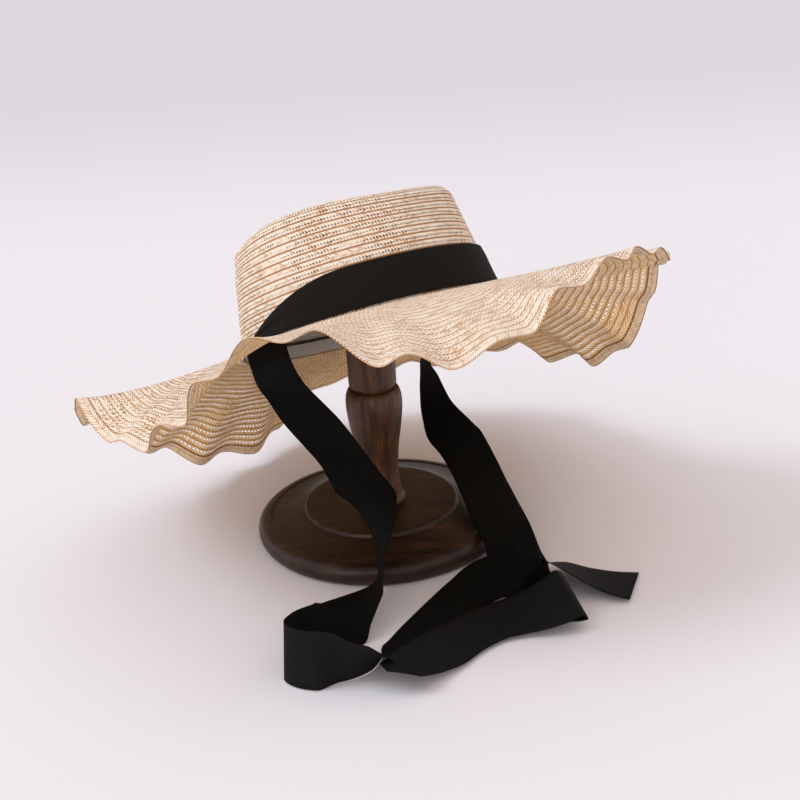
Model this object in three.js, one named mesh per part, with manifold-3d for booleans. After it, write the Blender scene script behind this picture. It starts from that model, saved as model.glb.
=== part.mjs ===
// A wide-brim hat of sewn straw braid with a ribbon band and two long ribbon ties,
// resting on a turned wooden hat stand.
// Millimetres, +Z up. The origin is the centre of the stand's foot, on the floor.
// The hat leans back and to its left on the stand's round head.
import * as THREE from 'three';
import { mergeVertices } from 'three/addons/utils/BufferGeometryUtils.js';
import Module from 'manifold-3d';

const wasm = await Module();
wasm.setup();

// Stand
const standBaseRadius = 89;
const standBaseHeight = 24;
const standRimHeight = 16;
const standPlateauRadius = 53.5;
const standFootRadius = 18;
const standWaistRadius = 14;
const standBulgeRadius = 20;
const standVaseHeight = 88;
const standPostRadius = 16.8;
const standPostLength = 106;
const standHeadRadius = 30;
const standHeadRim = 12;
const standHeadDome = 45;
const standCollarGroove = 1;

// Hat
const crownRadius = 92.5;
const crownOval = 1.06;
const crownHeight = 80;
const crownTaper = 0.18;
const crownShoulder = 12;
const strawWall = 2;
const leanLeft = 13.2;
const leanBack = 27.57;
const seatSide = 8;
const seatFront = 26.5;
const brimWidth = 118;
const brimDeepestDrop = 62;
const brimEdgeRow = 8;
const lobeSpread = 22;
const sweatbandHeight = 28;
const sweatbandWall = 1.2;
const sizeCordDiameter = 2;
const sizeCordHeight = 9;

// Ribbon
const ribbonWidth = 40;
const ribbonWall = 1;
const bandRise = 31;
const bandFoot = 1.6;
const slitClearance = 1.6;
const leftSlitAngle = -130;
const rightSlitAngle = 65;
const tieLead = 125;
const tieSpread = 170;

// Gap between pieces that touch
const seam = 0.3;

// Facets round each turned piece, the crown and the brim
const postFacets = 28;
const baseFacets = 44;
const crownFacets = 52;
const brimFacets = 168;

// The brim's edge, as it goes round: each row is one fold, with the angle and the drop of
// its crest and of the valley after it. Angles are in degrees from the hat's right, turning
// by the back; drops are shares of brimDeepestDrop.
const brimFolds = [
  { crestAt: -167, crestDrop: 0.06, valleyAt: -162, valleyDrop: 0.1 },
  { crestAt: -157, crestDrop: 0.02, valleyAt: -147.5, valleyDrop: 0.62 },
  { crestAt: -143.5, crestDrop: 0.64, valleyAt: -138, valleyDrop: 0.85 },
  { crestAt: -129, crestDrop: 0.66, valleyAt: -123.5, valleyDrop: 0.75 },
  { crestAt: -116.5, crestDrop: 0.4, valleyAt: -112.5, valleyDrop: 0.43 },
  { crestAt: -104.5, crestDrop: 0.16, valleyAt: -98, valleyDrop: 0.31 },
  { crestAt: -94, crestDrop: 0.27, valleyAt: -84.5, valleyDrop: 0.78 },
  { crestAt: -80.5, crestDrop: 0.73, valleyAt: -72, valleyDrop: 0.98 },
  { crestAt: -62.5, crestDrop: 0.82, valleyAt: -57, valleyDrop: 0.83 },
  { crestAt: -50.5, crestDrop: 0.46, valleyAt: -45.5, valleyDrop: 0.48 },
  { crestAt: -37.5, crestDrop: 0.24, valleyAt: -32, valleyDrop: 0.29 },
  { crestAt: -27.5, crestDrop: 0.16, valleyAt: -21, valleyDrop: 0.24 },
  { crestAt: -14, crestDrop: 0.16, valleyAt: -5, valleyDrop: 0.26 },
  { crestAt: 3, crestDrop: 0.12, valleyAt: 9, valleyDrop: 0.2 },
  { crestAt: 14, crestDrop: 0.14, valleyAt: 20.5, valleyDrop: 0.44 },
  { crestAt: 22.5, crestDrop: 0.47, valleyAt: 30, valleyDrop: 0.93 },
  { crestAt: 36.5, crestDrop: 0.91, valleyAt: 43, valleyDrop: 1 },
  { crestAt: 51, crestDrop: 0.76, valleyAt: 57, valleyDrop: 0.77 },
  { crestAt: 65, crestDrop: 0.38, valleyAt: 69, valleyDrop: 0.42 },
  { crestAt: 77, crestDrop: 0.3, valleyAt: 84, valleyDrop: 0.36 },
  { crestAt: 90, crestDrop: 0.2, valleyAt: 96, valleyDrop: 0.27 },
  { crestAt: 102, crestDrop: 0.17, valleyAt: 108, valleyDrop: 0.22 },
  { crestAt: 114, crestDrop: 0.24, valleyAt: 119, valleyDrop: 0.55 },
  { crestAt: 122, crestDrop: 0.62, valleyAt: 130, valleyDrop: 0.86 },
  { crestAt: 137, crestDrop: 0.75, valleyAt: 145, valleyDrop: 0.86 },
  { crestAt: 152, crestDrop: 0.55, valleyAt: 158, valleyDrop: 0.6 },
  { crestAt: 165, crestDrop: 0.36, valleyAt: 171, valleyDrop: 0.4 },
  { crestAt: 179, crestDrop: 0.18, valleyAt: 186, valleyDrop: 0.22 },
];

// The ties, section by section from their slit to their cut end. right is a share of
// tieSpread, front a share of tieLead beyond the stand's front edge, up a share of
// ribbonWidth. turn and lift are the heading and the slope, in degrees, of the line across
// the ribbon. held is how far the section follows the slit when the hat moves. The first
// row is the mouth of the slit itself.
const leftTieSections = [
  { right: -0.4, front: -0.25, up: 4.38, turn: -47, lift: 29, held: 1 },
  { right: -0.365, front: -0.312, up: 3.46, turn: -43, lift: 23, held: 0.85 },
  { right: -0.318, front: -0.304, up: 3.2, turn: -28, lift: 9, held: 0.75 },
  { right: -0.247, front: -0.272, up: 2.84, turn: -9, lift: 1, held: 0.65 },
  { right: -0.168, front: -0.232, up: 2.375, turn: 0, lift: -8, held: 0.5 },
  { right: -0.109, front: -0.168, up: 2.075, turn: 0, lift: -11, held: 0.4 },
  { right: -0.062, front: -0.104, up: 1.79, turn: 0, lift: -4, held: 0.3 },
  { right: -0.026, front: -0.032, up: 1.56, turn: -38, lift: 10, held: 0.22 },
  { right: -0.009, front: 0.028, up: 1.36, turn: -56, lift: 14, held: 0.15 },
  { right: -0.006, front: 0.084, up: 1.16, turn: -71, lift: 19, held: 0.1 },
  { right: -0.012, front: 0.128, up: 0.86, turn: -84, lift: 22, held: 0.04 },
  { right: -0.018, front: 0.168, up: 0.475, turn: -84, lift: 24, held: 0 },
  { right: -0.041, front: 0.25, up: 0.3, turn: -78, lift: 6, held: 0 },
  { right: -0.076, front: 0.4, up: 0.33, turn: -58, lift: -30, held: 0 },
  { right: -0.138, front: 0.54, up: 0.47, turn: -10, lift: -58, held: 0 },
  { right: -0.25, front: 0.68, up: 0.51, turn: 24, lift: -75, held: 0 },
  { right: -0.344, front: 0.788, up: 0.52, turn: -18, lift: -85, held: 0 },
  { right: -0.385, front: 0.864, up: 0.52, turn: -127, lift: -83, held: 0 },
  { right: -0.347, front: 0.944, up: 0.52, turn: -117, lift: -83, held: 0 },
  { right: -0.265, front: 0.992, up: 0.52, turn: -117, lift: -83, held: 0 },
  { right: -0.197, front: 0.976, up: 0.51, turn: 99, lift: -81, held: 0 },
  { right: -0.129, front: 0.944, up: 0.45, turn: 90, lift: -59, held: 0 },
  { right: -0.074, front: 0.876, up: 0.38, turn: 92, lift: -42, held: 0 },
  { right: -0.018, front: 0.744, up: 0.14, turn: 100, lift: -12, held: 0 },
  { right: 0.038, front: 0.68, up: 0.05, turn: 116, lift: 0, held: 0 },
  { right: 0.103, front: 0.592, up: 0.04, turn: 117, lift: 0, held: 0 },
  { right: 0.215, front: 0.36, up: 0.05, turn: 121, lift: 1, held: 0 },
  { right: 0.32, front: 0.176, up: 0.1, turn: 119, lift: 6, held: 0 },
  { right: 0.397, front: 0.1, up: 0.19, turn: 120, lift: 12, held: 0 },
  { right: 0.485, front: 0.108, up: 0.39, turn: 99, lift: 30, held: 0 },
  { right: 0.547, front: 0.224, up: 0.64, turn: 90, lift: 78, held: 0 },
  { right: 0.591, front: 0.24, up: 0.62, turn: -93, lift: 63, held: 0 },
  { right: 0.632, front: 0.096, up: 0.46, turn: -92, lift: 33, held: 0 },
  { right: 0.724, front: 0.064, up: 0.28, turn: -93, lift: 18, held: 0 },
  { right: 0.812, front: 0.112, up: 0.16, turn: -96, lift: 12, held: 0 },
  { right: 0.894, front: 0.16, up: 0.1, turn: -102, lift: 7, held: 0 },
  { right: 0.98, front: 0.192, up: 0.06, turn: -106, lift: 2, held: 0 },
];
const rightTieSections = [
  { right: 0.31, front: -1.42, up: 3.11, turn: -25, lift: 13, held: 1 },
  { right: 0.22, front: -1.34, up: 2.425, turn: -76, lift: 0, held: 0.85 },
  { right: 0.235, front: -1.296, up: 2.1, turn: -71, lift: 0, held: 0.75 },
  { right: 0.256, front: -1.248, up: 1.75, turn: -57, lift: 0, held: 0.65 },
  { right: 0.306, front: -1.128, up: 1.39, turn: -25, lift: 2, held: 0.5 },
  { right: 0.338, front: -1.04, up: 1.21, turn: 0, lift: -1, held: 0.4 },
  { right: 0.382, front: -0.92, up: 1, turn: 0, lift: -8, held: 0.3 },
  { right: 0.418, front: -0.768, up: 0.82, turn: 0, lift: -12, held: 0.2 },
  { right: 0.456, front: -0.552, up: 0.66, turn: 0, lift: -10, held: 0.1 },
  { right: 0.485, front: -0.376, up: 0.52, turn: 0, lift: -5, held: 0.04 },
  { right: 0.52, front: -0.216, up: 0.32, turn: 0, lift: -14, held: 0 },
  { right: 0.54, front: -0.1, up: 0.1, turn: 10, lift: 0, held: 0 },
  { right: 0.562, front: 0.028, up: 0.035, turn: 32, lift: 0, held: 0 },
  { right: 0.612, front: 0.164, up: 0.035, turn: 56, lift: 0, held: 0 },
  { right: 0.656, front: 0.288, up: 0.035, turn: 77, lift: 0, held: 0 },
  { right: 0.703, front: 0.364, up: 0.1, turn: 91, lift: 4, held: 0 },
  { right: 0.735, front: 0.416, up: 0.29, turn: 106, lift: 16, held: 0 },
  { right: 0.706, front: 0.468, up: 0.5, turn: 113, lift: 24, held: 0 },
  { right: 0.653, front: 0.492, up: 0.43, turn: 108, lift: 21, held: 0 },
  { right: 0.585, front: 0.488, up: 0.3, turn: 103, lift: 16, held: 0 },
  { right: 0.515, front: 0.48, up: 0.19, turn: 100, lift: 10, held: 0 },
  { right: 0.438, front: 0.5, up: 0.14, turn: 97, lift: 7, held: 0 },
  { right: 0.35, front: 0.588, up: 0.15, turn: 97, lift: 9, held: 0 },
  { right: 0.232, front: 0.712, up: 0.16, turn: 106, lift: 10, held: 0 },
  { right: 0.135, front: 0.812, up: 0.22, turn: 111, lift: 12, held: 0 },
  { right: 0.074, front: 0.864, up: 0.28, turn: 113, lift: 13, held: 0 },
  { right: -0.006, front: 0.944, up: 0.38, turn: 115, lift: 14, held: 0, width: 0.4 },
];
const stepsPerSection = 2;

// Colours and finishes
const straw = new THREE.MeshStandardMaterial({ color: 0xe8d3b0, roughness: 0.8, metalness: 0 });
const edgeStraw = new THREE.MeshStandardMaterial({ color: 0xdfc49a, roughness: 0.8, metalness: 0 });
const ribbon = new THREE.MeshStandardMaterial({ color: 0x0e0d0d, roughness: 0.62, metalness: 0 });
const lining = new THREE.MeshStandardMaterial({ color: 0xb9a893, roughness: 0.9, metalness: 0 });
const cord = new THREE.MeshStandardMaterial({ color: 0x111010, roughness: 0.7, metalness: 0 });
const wood = new THREE.MeshStandardMaterial({ color: 0x38241a, roughness: 0.42, metalness: 0 });

const degrees = Math.PI / 180;

// A piece turned on a lathe about the Z axis: profile is a list of [radius, height].
function turned(profile, facets) {
  const points = profile.map(([radius, height]) => new THREE.Vector2(radius, height));
  const geometry = new THREE.LatheGeometry(points, facets);
  geometry.rotateX(Math.PI / 2);
  return geometry;
}

function mesh(name, geometry, material) {
  const piece = new THREE.Mesh(geometry, material);
  piece.name = name;
  return piece;
}

// A closed skin over a row of like sections. Each section runs out along one face and back
// along the other. A ring joins its last section to its first; a strip has two end caps.
function skin(sections, isRing) {
  const size = sections[0].length;
  const positions = sections.flat().flatMap((point) => point.toArray());
  const faces = [];
  const last = isRing ? sections.length : sections.length - 1;
  for (let i = 0; i < last; i += 1) {
    const a = i * size;
    const b = ((i + 1) % sections.length) * size;
    for (let j = 0; j < size; j += 1) {
      const k = (j + 1) % size;
      faces.push(a + j, a + k, b + k, a + j, b + k, b + j);
    }
  }
  if (!isRing) {
    const end = (sections.length - 1) * size;
    for (let j = 0; j < size / 2 - 1; j += 1) {
      const far = size - 1 - j;
      faces.push(j, far, far - 1, j, far - 1, j + 1);
      faces.push(end + j, end + far - 1, end + far, end + j, end + j + 1, end + far - 1);
    }
  }
  const geometry = new THREE.BufferGeometry();
  geometry.setAttribute('position', new THREE.Float32BufferAttribute(positions, 3));
  geometry.setIndex(faces);
  return geometry;
}

function toManifold(geometry) {
  const bare = geometry.clone();
  bare.deleteAttribute('normal');
  bare.deleteAttribute('uv');
  const merged = mergeVertices(bare, 1e-4);
  const vertProperties = new Float32Array(merged.attributes.position.array);
  const triVerts = new Uint32Array(merged.index.array);
  return new wasm.Manifold(new wasm.Mesh({ numProp: 3, vertProperties, triVerts }));
}

function fromManifold(solid) {
  const cut = solid.getMesh();
  const geometry = new THREE.BufferGeometry();
  geometry.setAttribute('position', new THREE.BufferAttribute(cut.vertProperties, 3));
  geometry.setIndex(new THREE.BufferAttribute(cut.triVerts, 1));
  return geometry;
}

// Stand: a turned foot with a raised plateau, a vase-shaped stem, a plain post and a head.
const vaseTop = standBaseHeight + standVaseHeight;
const postTop = vaseTop + standPostLength;
const headRimTop = postTop + standHeadRim;
const domeDepth = Math.sqrt(standHeadDome ** 2 - standHeadRadius ** 2);
const domeCentre = headRimTop - domeDepth;

function standBase() {
  const rim = standRimHeight;
  const cove = standBaseRadius - standPlateauRadius;
  const profile = [
    [0, 0],
    [standBaseRadius - 7, 0],
    [standBaseRadius - 2, rim * 0.16],
    [standBaseRadius, rim * 0.44],
    [standBaseRadius - 0.4, rim * 0.69],
    [standBaseRadius - 3, rim * 0.91],
    [standBaseRadius - 7, rim],
    [standPlateauRadius + cove * 0.58, rim + 0.5],
    [standPlateauRadius + cove * 0.35, rim + 2],
    [standPlateauRadius + cove * 0.13, standBaseHeight - 3.5],
    [standPlateauRadius + 1, standBaseHeight - 2.5],
    [standPlateauRadius + 0.6, standBaseHeight - 0.6],
    [standPlateauRadius - 0.6, standBaseHeight],
    [0, standBaseHeight],
  ];
  return mesh('stand_base', turned(profile, baseFacets), wood);
}

function standVase() {
  const foot = standBaseHeight + seam;
  const tall = standVaseHeight - seam;
  const belly = standBulgeRadius - standWaistRadius;
  const profile = [
    [0, foot],
    [standFootRadius, foot],
    [standFootRadius, foot + tall * 0.04],
    [standWaistRadius + 2, foot + tall * 0.08],
    [standWaistRadius + 0.8, foot + tall * 0.14],
    [standWaistRadius, foot + tall * 0.27],
    [standWaistRadius + belly * 0.22, foot + tall * 0.47],
    [standWaistRadius + belly * 0.62, foot + tall * 0.64],
    [standWaistRadius + belly * 0.92, foot + tall * 0.77],
    [standBulgeRadius, foot + tall * 0.86],
    [standBulgeRadius - 0.4, foot + tall * 0.93],
    [standBulgeRadius - 1.6, foot + tall * 0.985],
    [standBulgeRadius - 3, foot + tall],
    [0, foot + tall],
  ];
  return mesh('stand_stem', turned(profile, postFacets), wood);
}

function standPost() {
  const foot = vaseTop + seam;
  const profile = [
    [0, foot],
    [standPostRadius - standCollarGroove, foot],
    [standPostRadius - standCollarGroove, foot + standCollarGroove],
    [standPostRadius, foot + standCollarGroove * 2],
    [standPostRadius, postTop - seam],
    [0, postTop - seam],
  ];
  return mesh('stand_post', turned(profile, postFacets), wood);
}

function standHead() {
  const profile = [
    [0, postTop],
    [standHeadRadius - 5, postTop],
    [standHeadRadius - 1.5, postTop + standHeadRim * 0.3],
    [standHeadRadius, postTop + standHeadRim * 0.7],
  ];
  const widest = Math.asin(standHeadRadius / standHeadDome);
  const rings = 5;
  for (let i = 0; i < rings; i += 1) {
    const angle = widest * (1 - i / rings);
    profile.push([standHeadDome * Math.sin(angle), domeCentre + standHeadDome * Math.cos(angle)]);
  }
  profile.push([0, domeCentre + standHeadDome]);
  return mesh('stand_head', turned(profile, postFacets), wood);
}

// What lies round the crown stays this far from it
const clearOfCrown = seam + strawWall / 4;

// Radius of the oval of the crown's outside, at a height above its base and at an angle
function ovalRadius(angle, height) {
  const round = crownRadius - crownTaper * height;
  return round / Math.hypot(Math.cos(angle), Math.sin(angle) / crownOval);
}

// The crown: a tapered wall, a rounded shoulder and a flat top, open below
function crownShell() {
  const wallTop = crownHeight - crownShoulder;
  const topRadius = crownRadius - crownTaper * wallTop;
  const outer = [[crownRadius + crownTaper * strawWall / 2, -strawWall / 2], [topRadius, wallTop]];
  const inner = outer.map(([radius, height]) => [radius - strawWall, height]);
  const bends = 4;
  for (let i = 1; i <= bends; i += 1) {
    const angle = (i / bends) * Math.PI / 2;
    const across = topRadius - crownShoulder * (1 - Math.cos(angle));
    const up = wallTop + crownShoulder * Math.sin(angle);
    outer.push([across, up]);
    inner.push([across - strawWall * Math.cos(angle), up - strawWall * Math.sin(angle)]);
  }
  const profile = [[0, crownHeight - strawWall], ...inner.reverse(), ...outer, [0, crownHeight]];
  const geometry = turned(profile, crownFacets);
  geometry.scale(1, crownOval, 1);
  return mesh('crown', geometry, straw);
}

// Crests and valleys of the brim's edge in one list, in the order of their angles
const edgePoints = brimFolds.flatMap((fold) => [
  { at: fold.crestAt, drop: fold.crestDrop },
  { at: fold.valleyAt, drop: fold.valleyDrop },
]);

function edgeDrop(angle) {
  const start = edgePoints[0].at;
  const turn = THREE.MathUtils.euclideanModulo(angle / degrees - start, 360) + start;
  const next = edgePoints.findIndex((point) => point.at > turn);
  const after = next < 0 ? { at: start + 360, drop: edgePoints[0].drop } : edgePoints[next];
  const before = next < 0 ? edgePoints[edgePoints.length - 1] : edgePoints[next - 1];
  const share = (turn - before.at) / (after.at - before.at);
  const eased = (1 - Math.cos(share * Math.PI)) / 2;
  return brimDeepestDrop * THREE.MathUtils.lerp(before.drop, after.drop, eased);
}

// The broad lobes of the brim are its edge with the small folds smoothed away
function lobeDrop(angle) {
  const samples = 12;
  let total = 0;
  let weights = 0;
  for (let i = -samples; i <= samples; i += 1) {
    const weight = 1 + Math.cos((i / (samples + 1)) * Math.PI);
    total += weight * edgeDrop(angle + (i / samples) * lobeSpread * degrees);
    weights += weight;
  }
  return total / weights;
}

// Middle of the brim's straw along one ray, from the crown to the edge. The braid keeps its
// width: where it drops, it reaches less far out.
const brimSteps = 20;
const lobeCurve = 1.35;
const foldCurve = 3;
function brimRay(angle) {
  const lobe = lobeDrop(angle);
  const fold = edgeDrop(angle) - lobe;
  const ray = [];
  let out = ovalRadius(angle, 0) + clearOfCrown;
  let height = 0;
  for (let i = 0; i <= brimSteps; i += 1) {
    const share = i / brimSteps;
    const low = -lobe * share ** lobeCurve - fold * share ** foldCurve;
    if (i > 0) {
      const step = brimWidth / brimSteps;
      const fall = low - height;
      out += Math.sqrt(Math.max(step ** 2 - fall ** 2, (step / 4) ** 2));
    }
    height = low;
    ray.push(new THREE.Vector3(out * Math.cos(angle), out * Math.sin(angle), height));
  }
  return ray;
}

function alongRay(ray, share) {
  const place = share * brimSteps;
  const cell = Math.min(Math.floor(place), brimSteps - 1);
  return ray[cell].clone().lerp(ray[cell + 1], place - cell);
}

// A ring of braid between two shares of the brim's width, as thick as the straw
function braidRing(shares) {
  const rays = [];
  for (let i = 0; i < brimFacets; i += 1) {
    rays.push(brimRay((i / brimFacets) * 2 * Math.PI));
  }
  const grid = rays.map((ray) => shares.map((share) => alongRay(ray, share)));
  const sections = grid.map((row, i) => {
    const before = grid[(i + brimFacets - 1) % brimFacets];
    const after = grid[(i + 1) % brimFacets];
    const normals = row.map((point, j) => {
      const along = after[j].clone().sub(before[j]);
      const inside = row[Math.max(j - 1, 0)];
      const outside = row[Math.min(j + 1, row.length - 1)];
      return outside.clone().sub(inside).cross(along).normalize();
    });
    const top = row.map((point, j) => point.clone().addScaledVector(normals[j], strawWall / 2));
    const under = row.map((point, j) => point.clone().addScaledVector(normals[j], -strawWall / 2));
    return [...top, ...under.reverse()];
  });
  return skin(sections, true);
}

// Place and direction of a slit where the ribbon goes down through the brim
function slitFrame(slitAngle) {
  const angle = slitAngle * degrees;
  const along = new THREE.Vector3(-Math.sin(angle), Math.cos(angle), 0);
  const centre = new THREE.Vector3(Math.cos(angle), Math.sin(angle), 0);
  centre.multiplyScalar(ovalRadius(angle, 0) + clearOfCrown + slitClearance + ribbonWall);
  return { centre, along };
}

function slitCutter(slitAngle) {
  const { centre } = slitFrame(slitAngle);
  const across = ribbonWall + slitClearance;
  const long = ribbonWidth + slitClearance * 2;
  const box = new THREE.BoxGeometry(across, long, brimDeepestDrop);
  box.rotateZ(slitAngle * degrees);
  box.translate(centre.x, centre.y, 0);
  return toManifold(box);
}

function brim() {
  const inside = (brimWidth - brimEdgeRow - seam * 2) / brimWidth;
  const shares = [0, 0.14, 0.44, 0.74, 1].map((share) => share * inside);
  const whole = toManifold(braidRing(shares));
  const cutters = [leftSlitAngle, rightSlitAngle].map(slitCutter);
  const cut = cutters.reduce((solid, cutter) => solid.subtract(cutter), whole);
  return mesh('brim', fromManifold(cut), straw);
}

// The last row of braid, sewn on the edge
function brimEdge() {
  const inside = (brimWidth - brimEdgeRow) / brimWidth;
  return mesh('brim_edge', braidRing([inside, 1]), edgeStraw);
}

// The ribbon lies round the crown from one slit to the other by the front. At each end it
// folds down into its slit.
const bandFoldSpan = 55;
const bandFlareSpan = 12;
const bandEndRise = 0.12;
function hatBand() {
  const slitSpan = ribbonWidth / crownRadius / degrees;
  const first = leftSlitAngle - slitSpan / 2;
  const last = rightSlitAngle + slitSpan / 2;
  const steps = 44;
  const rows = 2;
  const sections = [];
  for (let i = 0; i <= steps; i += 1) {
    const at = THREE.MathUtils.lerp(first, last, i / steps);
    const angle = at * degrees;
    const fromEnd = Math.min(at - first, last - at);
    const risen = Math.sin(Math.min(fromEnd / bandFoldSpan, 1) * Math.PI / 2);
    const top = bandFoot + (bandRise - bandFoot) * THREE.MathUtils.lerp(bandEndRise, 1, risen);
    const slitAngle = i < steps / 2 ? leftSlitAngle : rightSlitAngle;
    const slitOut = slitFrame(slitAngle).centre.length() / Math.cos((at - slitAngle) * degrees);
    const flare = THREE.MathUtils.clamp(1 - (fromEnd - slitSpan) / bandFlareSpan, 0, 1);
    const inner = [];
    const outer = [];
    for (let j = 0; j <= rows; j += 1) {
      const height = THREE.MathUtils.lerp(bandFoot, top, j / rows);
      const close = ovalRadius(angle, height) + clearOfCrown;
      const lifted = flare * (1 - j / rows) ** 2;
      const out = THREE.MathUtils.lerp(close, slitOut - ribbonWall / 2, lifted);
      const side = new THREE.Vector3(Math.cos(angle), Math.sin(angle), 0);
      inner.push(side.clone().multiplyScalar(out).setZ(height));
      outer.push(side.clone().multiplyScalar(out + ribbonWall).setZ(height));
    }
    sections.push([...inner, ...outer.reverse()]);
  }
  return mesh('hat_band', skin(sections, false), ribbon);
}

// The sweatband: a strip of fabric round the inside of the crown's foot
function sweatband() {
  const out = crownRadius - strawWall - seam;
  const upOut = out - crownTaper * sweatbandHeight;
  const profile = [
    [out - sweatbandWall, 0],
    [out, 0],
    [upOut, sweatbandHeight],
    [upOut - sweatbandWall, sweatbandHeight],
    [out - sweatbandWall, 0],
  ];
  const geometry = turned(profile, crownFacets);
  geometry.scale(1, crownOval, 1);
  return mesh('sweatband', geometry, lining);
}

// A thin cord that lies round the sweatband and sets the head size
function sizeCord() {
  const out = crownRadius - strawWall - seam * 2 - sweatbandWall
    - crownTaper * sizeCordHeight - sizeCordDiameter / 2;
  const geometry = new THREE.TorusGeometry(out, sizeCordDiameter / 2, 5, crownFacets);
  geometry.scale(1, crownOval, 1);
  geometry.translate(0, 0, sizeCordHeight);
  return mesh('size_cord', geometry, cord);
}

// The hat's own frame: origin at the middle of the crown's foot, Z through the crown's top
const hat = new THREE.Group();
hat.rotation.set(-leanBack * degrees, -leanLeft * degrees, 0, 'YXZ');
const ceiling = crownHeight - strawWall;
const seat = new THREE.Vector3(seatSide, -seatFront, ceiling - seam - standHeadDome);
hat.position.set(0, 0, domeCentre).sub(seat.applyEuler(hat.rotation));

// A tie: a ribbon that comes up through its slit under the band, hangs and lies on the floor
function tie(name, slitAngle, rows) {
  const { centre, along } = slitFrame(slitAngle);
  const facing = slitAngle < 0 ? 1 : -1;
  const across = along.multiplyScalar(facing).applyEuler(hat.rotation);
  const places = rows.map((row) => new THREE.Vector3(
    row.right * tieSpread,
    -standBaseRadius - row.front * tieLead,
    row.up * ribbonWidth,
  ));
  const lines = rows.map((row) => new THREE.Vector3(
    Math.cos(row.lift * degrees) * Math.cos(row.turn * degrees),
    Math.cos(row.lift * degrees) * Math.sin(row.turn * degrees),
    Math.sin(row.lift * degrees),
  ));
  const slitTop = bandFoot - seam;
  const slitFoot = -ribbonWidth * 0.35;
  const atSlit = [slitTop, slitFoot].map((height) => centre.clone().setZ(height)
    .applyEuler(hat.rotation).add(hat.position));
  const moved = atSlit[0].clone().sub(places[0]);
  places.forEach((place, i) => place.addScaledVector(moved, rows[i].held));
  const points = [...atSlit, ...places.slice(1)];
  const path = new THREE.CatmullRomCurve3(points, false, 'centripetal');
  const headings = [across, across, ...lines.slice(1)];
  const turns = new THREE.CatmullRomCurve3(headings, false, 'centripetal');
  const widths = [1, ...rows.map((row) => row.width ?? 1)];
  const count = (widths.length - 1) * stepsPerSection;
  const sections = [];
  for (let i = 0; i <= count; i += 1) {
    const share = i / count;
    const point = path.getPoint(share);
    const ahead = path.getPoint(Math.min(share + 0.002, 1));
    const behind = path.getPoint(Math.max(share - 0.002, 0));
    const line = turns.getPoint(share).normalize();
    const face = ahead.sub(behind).cross(line).normalize().multiplyScalar(ribbonWall / 2);
    const cell = Math.min(Math.floor(share * (widths.length - 1)), widths.length - 2);
    const part = share * (widths.length - 1) - cell;
    const reach = ribbonWidth / 2 * THREE.MathUtils.lerp(widths[cell], widths[cell + 1], part);
    const left = point.clone().addScaledVector(line, -reach);
    const right = point.clone().addScaledVector(line, reach);
    sections.push([
      left.clone().sub(face),
      right.clone().sub(face),
      right.clone().add(face),
      left.clone().add(face),
    ]);
  }
  return mesh(name, skin(sections, false), ribbon);
}

hat.add(crownShell(), brim(), brimEdge(), hatBand(), sweatband(), sizeCord());

const hatOnStand = new THREE.Group();
hatOnStand.add(standBase(), standVase(), standPost(), standHead(), hat);
hatOnStand.add(tie('tie_left', leftSlitAngle, leftTieSections));
hatOnStand.add(tie('tie_right', rightSlitAngle, rightTieSections));

export default hatOnStand;
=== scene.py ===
import math

import bmesh
import bpy
import numpy as np
from mathutils import Matrix, Vector


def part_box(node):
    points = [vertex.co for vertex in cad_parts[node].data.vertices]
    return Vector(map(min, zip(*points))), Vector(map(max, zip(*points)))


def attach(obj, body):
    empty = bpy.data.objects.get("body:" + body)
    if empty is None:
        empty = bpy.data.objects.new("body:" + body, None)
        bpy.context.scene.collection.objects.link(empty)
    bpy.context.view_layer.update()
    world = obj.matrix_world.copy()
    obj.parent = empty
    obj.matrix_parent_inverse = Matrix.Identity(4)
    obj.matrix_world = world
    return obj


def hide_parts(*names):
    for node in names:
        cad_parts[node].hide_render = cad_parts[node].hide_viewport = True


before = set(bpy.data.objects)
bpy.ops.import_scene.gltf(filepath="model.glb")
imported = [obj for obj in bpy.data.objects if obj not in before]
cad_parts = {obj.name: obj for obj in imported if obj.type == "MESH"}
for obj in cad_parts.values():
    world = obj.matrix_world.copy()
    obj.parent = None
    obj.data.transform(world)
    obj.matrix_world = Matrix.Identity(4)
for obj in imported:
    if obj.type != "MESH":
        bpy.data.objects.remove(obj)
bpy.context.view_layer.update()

# Camera. A short telephoto lens in front of the stand looks down on it by 24 degrees, and
# is held a little turned about its own axis.
camera_place = (0.0183, -1.3703, 0.7101)
camera_down = 24.0
camera_roll = -3.9
camera_lens = 96.43
camera_data = bpy.data.cameras.new("camera")
camera_data.lens = camera_lens
camera_data.sensor_width = 36
camera = bpy.data.objects.new("camera", camera_data)
bpy.context.scene.collection.objects.link(camera)
tilted = Matrix.Rotation(math.radians(90 - camera_down), 4, "X")
rolled = Matrix.Rotation(math.radians(camera_roll), 4, "Z")
camera.matrix_world = Matrix.Translation(camera_place) @ tilted @ rolled
bpy.context.scene.camera = camera


# Studio. A broad cool light falls from high on the left, a low warm one from the front left, and
# a warm glow from all round fills their shadows. The floor is pale lavender and has no edge.
def wire(tree, kind, sockets=None, **settings):
    """A new node. settings are its own choices, sockets its inputs: values or outputs."""
    node = tree.nodes.new(kind)
    for key, value in settings.items():
        setattr(node, key, value)
    for key, value in (sockets or {}).items():
        if isinstance(value, bpy.types.NodeSocket):
            tree.links.new(value, node.inputs[key])
        else:
            node.inputs[key].default_value = value
    return node


def reckon(tree, operation, *values):
    """What a Math node makes of these values or outputs."""
    sockets = dict(enumerate(values))
    return wire(tree, "ShaderNodeMath", sockets, operation=operation).outputs[0]


def blend(tree, share, first, second, **settings):
    """A colour between two others, by share."""
    sockets = {"Factor": share, 6: first, 7: second}
    return wire(tree, "ShaderNodeMix", sockets, data_type="RGBA", **settings).outputs[2]


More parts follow.
